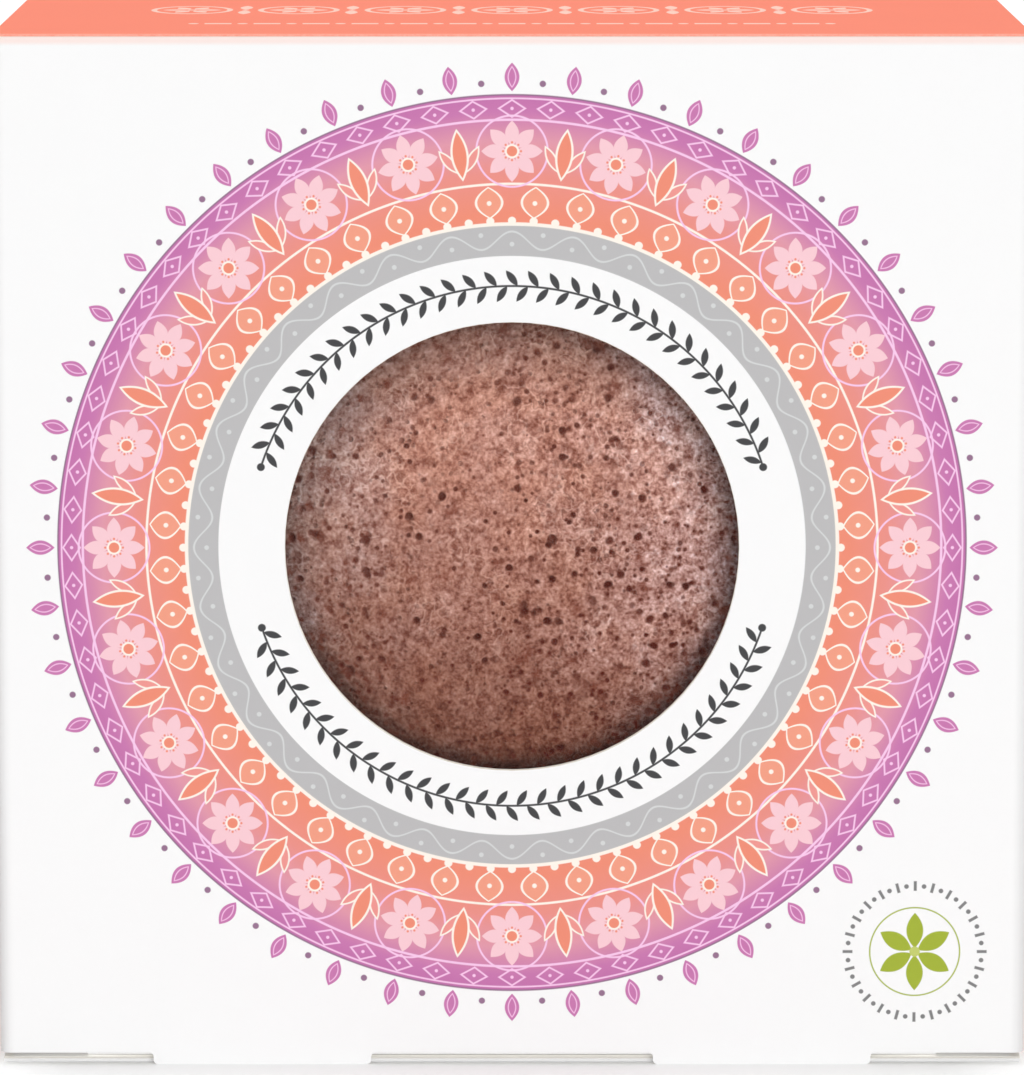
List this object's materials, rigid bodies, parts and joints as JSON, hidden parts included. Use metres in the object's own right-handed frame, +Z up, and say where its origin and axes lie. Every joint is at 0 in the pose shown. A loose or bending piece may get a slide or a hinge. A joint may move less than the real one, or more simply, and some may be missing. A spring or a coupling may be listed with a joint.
{
  "type": "konjac facial sponge in a window carton",
  "caption": "Dry half-ball facial sponge standing in a folding carton with a round film window, hinged tuck lid, bottom and dust flaps.",
  "frame": {"origin": "middle of the closed carton's footprint, at the height of the feet of the front panel", "axes": "+Z up, -Y out of the window in the front panel, +X to the viewer's right when the front is seen"},
  "size_m": [0.088, 0.0418, 0.0885],
  "materials": {
    "board_white": "matt coated board, printed white",
    "board_coral": "matt coated board, printed coral",
    "board_plain": "uncoated inner face of the board",
    "glue": "dried carton glue",
    "film": "clear gloss film",
    "sponge": "dry, open-pored, reddish brown"
  },
  "bodies": {
    "carton": {"front_panel": "board_white", "back_panel": "board_coral", "left_side_panel": "board_coral", "right_side_panel": "board_coral", "glue_flap": "board_plain", "seam_adhesive": "glue", "window_film": "film", "film_adhesive": "glue"},
    "top_lid": {"top_lid": "board_coral"},
    "top_tuck_flap": {"top_tuck_flap": "board_coral"},
    "top_dust_flap_left": {"top_dust_flap_left": "board_plain"},
    "top_dust_flap_right": {"top_dust_flap_right": "board_plain"},
    "bottom_panel": {"bottom_panel": "board_white"},
    "bottom_tuck_flap": {"bottom_tuck_flap": "board_white"},
    "bottom_dust_flap_left": {"bottom_dust_flap_left": "board_plain"},
    "bottom_dust_flap_right": {"bottom_dust_flap_right": "board_plain"},
    "sponge": {"sponge": "sponge"}
  },
  "joints": [
    {"name": "lid_crease", "type": "hinge", "parent": "carton", "child": "top_lid", "pos_m": [0, 0.0206, 0.08825], "axis": [-1, 0, 0], "range_deg": [0, 150]},
    {"name": "top_tuck_crease", "type": "hinge", "parent": "top_lid", "child": "top_tuck_flap", "pos_m": [0, -0.01995, 0.08825], "axis": [-1, 0, 0], "range_deg": [0, 50]},
    {"name": "top_dust_left_crease", "type": "hinge", "parent": "carton", "child": "top_dust_flap_left", "pos_m": [-0.04375, 0, 0.08765], "axis": [0, -1, 0], "range_deg": [0, 80]},
    {"name": "top_dust_right_crease", "type": "hinge", "parent": "carton", "child": "top_dust_flap_right", "pos_m": [0.04375, 0, 0.08765], "axis": [0, 1, 0], "range_deg": [0, 80]},
    {"name": "bottom_crease", "type": "hinge", "parent": "carton", "child": "bottom_panel", "pos_m": [0, 0.0206, 0.00025], "axis": [1, 0, 0], "range_deg": [0, 150]},
    {"name": "bottom_tuck_crease", "type": "hinge", "parent": "bottom_panel", "child": "bottom_tuck_flap", "pos_m": [0, -0.01995, 0.00025], "axis": [1, 0, 0], "range_deg": [0, 50]},
    {"name": "bottom_dust_left_crease", "type": "hinge", "parent": "carton", "child": "bottom_dust_flap_left", "pos_m": [-0.04375, 0, 0.00085], "axis": [0, 1, 0], "range_deg": [0, 80]},
    {"name": "bottom_dust_right_crease", "type": "hinge", "parent": "carton", "child": "bottom_dust_flap_right", "pos_m": [0.04375, 0, 0.00085], "axis": [0, -1, 0], "range_deg": [0, 80]},
    {"name": "sponge_lift", "type": "slide", "parent": "carton", "child": "sponge", "axis": [0, 0, 1], "range_m": [0, 0.0036]}
  ],
  "couplings": [
    {"joint": "top_tuck_crease", "follows": "lid_crease", "ratio": 0.3},
    {"joint": "top_dust_left_crease", "follows": "lid_crease", "ratio": 0.5},
    {"joint": "top_dust_right_crease", "follows": "lid_crease", "ratio": 0.5},
    {"joint": "bottom_tuck_crease", "follows": "bottom_crease", "ratio": 0.3},
    {"joint": "bottom_dust_left_crease", "follows": "bottom_crease", "ratio": 0.5},
    {"joint": "bottom_dust_right_crease", "follows": "bottom_crease", "ratio": 0.5}
  ]
}
